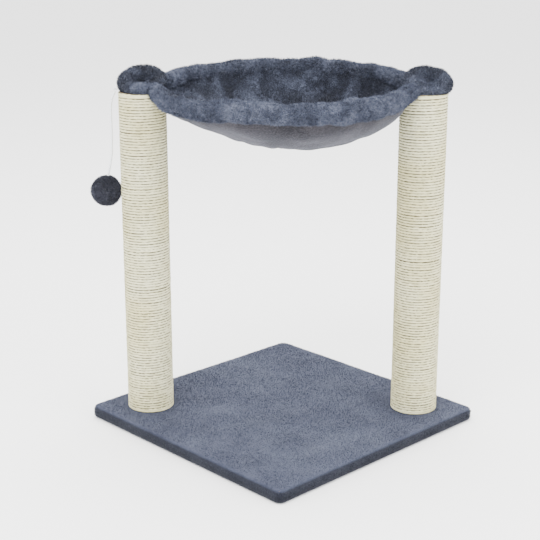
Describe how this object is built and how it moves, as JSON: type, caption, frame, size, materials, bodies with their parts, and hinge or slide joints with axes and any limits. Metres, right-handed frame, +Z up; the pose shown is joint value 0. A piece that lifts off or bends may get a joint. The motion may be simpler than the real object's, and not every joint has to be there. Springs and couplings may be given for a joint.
{
  "type": "cat tree",
  "caption": "Small cat tree with a square plush base, rope-wrapped posts on opposite corners, a round plush hammock between their tops and a plush ball hanging on a cord.",
  "frame": {"origin": "on the floor under the centre of the square base", "axes": "+Z up; X and Y along the base's sides; the posts stand at the (-x, -y) and (+x, +y) corners"},
  "size_m": [0.4026, 0.4, 0.5118],
  "materials": {
    "plush_grey": "short-pile plush",
    "plush_warm": "brushed plush back",
    "plush_dark": "dark plush",
    "sisal": "natural rope",
    "cord_white": "braided cord",
    "board": "raw particle board",
    "card": "kraft cardboard",
    "liner": "non-woven",
    "zinc": "zinc plated",
    "rod": "powder coated",
    "foam": "foam"
  },
  "bodies": {
    "tree": {"base_board": "board", "base_cover": "plush_grey", "base_liner": "liner", "base_staples": "zinc", "left_post_tube": "card", "right_post_tube": "card", "left_sisal_wrap": "sisal", "right_sisal_wrap": "sisal", "left_bottom_plug": "board", "right_bottom_plug": "board", "left_top_plug": "board", "right_top_plug": "board", "threaded_inserts": "zinc", "plug_nails": "zinc", "rope_staples": "zinc", "base_bolts": "zinc", "base_washers": "zinc", "hammock_bolts": "zinc", "hammock_washers": "zinc", "hammock_frame": "rod", "rim_sleeve": "plush_grey", "left_loop_sleeve": "plush_grey", "right_loop_sleeve": "plush_grey", "hammock_lining": "plush_grey", "hammock_outer": "plush_warm"},
    "cord_top": {"cord_top_knot": "cord_white"},
    "toy": {"toy_cord": "cord_white", "toy_ball_cover": "plush_dark", "toy_ball_core": "foam"}
  },
  "joints": [
    {"name": "toy_swing_out", "type": "hinge", "parent": "tree", "child": "cord_top", "pos_m": [-0.16703, -0.16141, 0.4885], "axis": [-0.6293, 0.7771, 0], "range_deg": [0, 75]},
    {"name": "toy_swing_side", "type": "hinge", "parent": "cord_top", "child": "toy", "pos_m": [-0.16703, -0.16141, 0.4885], "axis": [-0.7771, -0.6293, 0], "range_deg": [-60, 60]}
  ]
}
